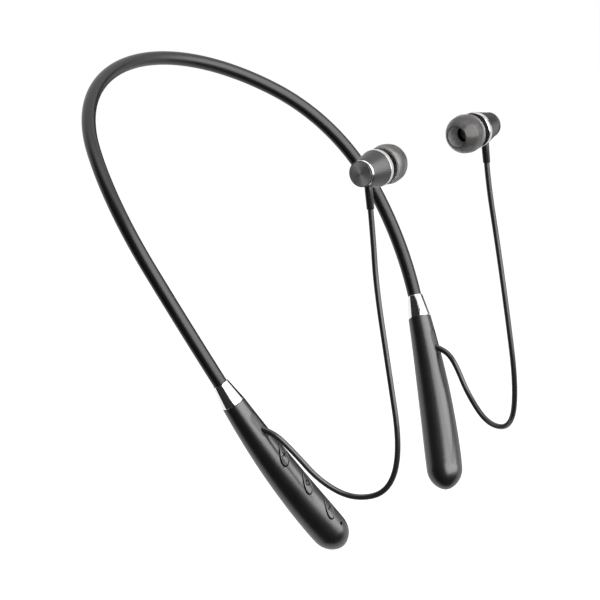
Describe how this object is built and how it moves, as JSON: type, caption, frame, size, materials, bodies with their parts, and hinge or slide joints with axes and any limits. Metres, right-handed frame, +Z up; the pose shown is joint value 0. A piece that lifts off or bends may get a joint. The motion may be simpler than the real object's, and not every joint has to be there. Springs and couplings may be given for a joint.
{
  "type": "neckband earphones",
  "caption": "Wireless neckband headset: a springy band with a pod at each end, in-ear buds on short cords, press buttons and a covered charging port.",
  "frame": {"origin": "middle of the band's centre line at the nape, where it rests on the neck", "axes": "+Z up, the wearer faces -Y, +X to the wearer's left; worn pose with the buds held up at the ears"},
  "size_m": [0.1514, 0.1417, 0.1559],
  "materials": {
    "soft_touch_shell": "soft-touch coat over moulded plastic",
    "band_rubber": "smooth silicone sleeve",
    "polished_metal": "mirror polish",
    "spun_metal": "turned face with fine circular lines",
    "gunmetal": "satin gunmetal",
    "key_rubber": "soft-touch key with a light symbol",
    "insert_rubber": "smooth moulded rubber",
    "black_plastic": "glossy black",
    "tip_silicone": "smoky translucent silicone",
    "cord_jacket": "glossy black jacket",
    "spring_steel": "bare spring steel",
    "wire_jacket": "insulated wire bundle",
    "board_green": "printed circuit board",
    "tinned_steel": "stamped and tinned",
    "cell_can": "drawn can",
    "steel_mesh": "fine woven mesh",
    "crimp_plastic": "plain moulded plastic"
  },
  "bodies": {
    "headset": {"neckband_sleeve": "band_rubber", "spring_wire": "spring_steel", "band_wiring": "wire_jacket", "battery_cell": "cell_can", "protection_board": "board_green", "circuit_board": "board_green", "charging_socket": "tinned_steel", "microphone": "insert_rubber", "volume_up_switch": "tinned_steel", "call_switch": "tinned_steel", "volume_down_switch": "tinned_steel", "left_cord": "cord_jacket", "right_cord": "cord_jacket", "left_collar": "polished_metal", "left_pod_front": "soft_touch_shell", "left_pod_back": "soft_touch_shell", "left_wire_anchor": "crimp_plastic", "left_cord_grommet": "insert_rubber", "left_bud_shell": "gunmetal", "left_bud_cap": "spun_metal", "left_bud_rear_ring": "polished_metal", "left_bud_magnet": "tinned_steel", "left_bud_front_ring": "polished_metal", "left_bud_nozzle": "black_plastic", "left_bud_mesh": "steel_mesh", "left_bud_driver": "tinned_steel", "left_strain_relief": "black_plastic", "right_collar": "polished_metal", "right_pod_front": "soft_touch_shell", "right_pod_back": "soft_touch_shell", "right_wire_anchor": "crimp_plastic", "right_cord_grommet": "insert_rubber", "right_bud_shell": "gunmetal", "right_bud_cap": "spun_metal", "right_bud_rear_ring": "polished_metal", "right_bud_magnet": "tinned_steel", "right_bud_front_ring": "polished_metal", "right_bud_nozzle": "black_plastic", "right_bud_mesh": "steel_mesh", "right_bud_driver": "tinned_steel", "right_strain_relief": "black_plastic"},
    "volume_up_button": {"volume_up_button": "key_rubber"},
    "call_button": {"call_button": "key_rubber"},
    "volume_down_button": {"volume_down_button": "key_rubber"},
    "port_flap": {"port_flap": "insert_rubber"},
    "left_ear_tip": {"left_ear_tip": "tip_silicone"},
    "right_ear_tip": {"right_ear_tip": "tip_silicone"}
  },
  "joints": [
    {"name": "volume_up_press", "type": "slide", "parent": "headset", "child": "volume_up_button", "axis": [0.0852, 0.9035, -0.4201], "range_m": [0, 0.00035], "stiffness_N_per_m": 2000, "springref_m": -0.0003},
    {"name": "call_press", "type": "slide", "parent": "headset", "child": "call_button", "axis": [0.0374, 0.8969, -0.4406], "range_m": [0, 0.00035], "stiffness_N_per_m": 2000, "springref_m": -0.0003},
    {"name": "volume_down_press", "type": "slide", "parent": "headset", "child": "volume_down_button", "axis": [-0.0086, 0.8862, -0.4632], "range_m": [0, 0.00035], "stiffness_N_per_m": 2000, "springref_m": -0.0003},
    {"name": "port_flap_hinge", "type": "hinge", "parent": "headset", "child": "port_flap", "pos_m": [-0.04519, -0.09691, -0.1249], "axis": [-0.0691, -0.9018, 0.4266], "range_deg": [0, 100]},
    {"name": "left_tip_slide", "type": "slide", "parent": "headset", "child": "left_ear_tip", "axis": [-1, 0, 0], "range_m": [0, 0.006]},
    {"name": "right_tip_slide", "type": "slide", "parent": "headset", "child": "right_ear_tip", "axis": [1, 0, 0], "range_m": [0, 0.006]}
  ]
}
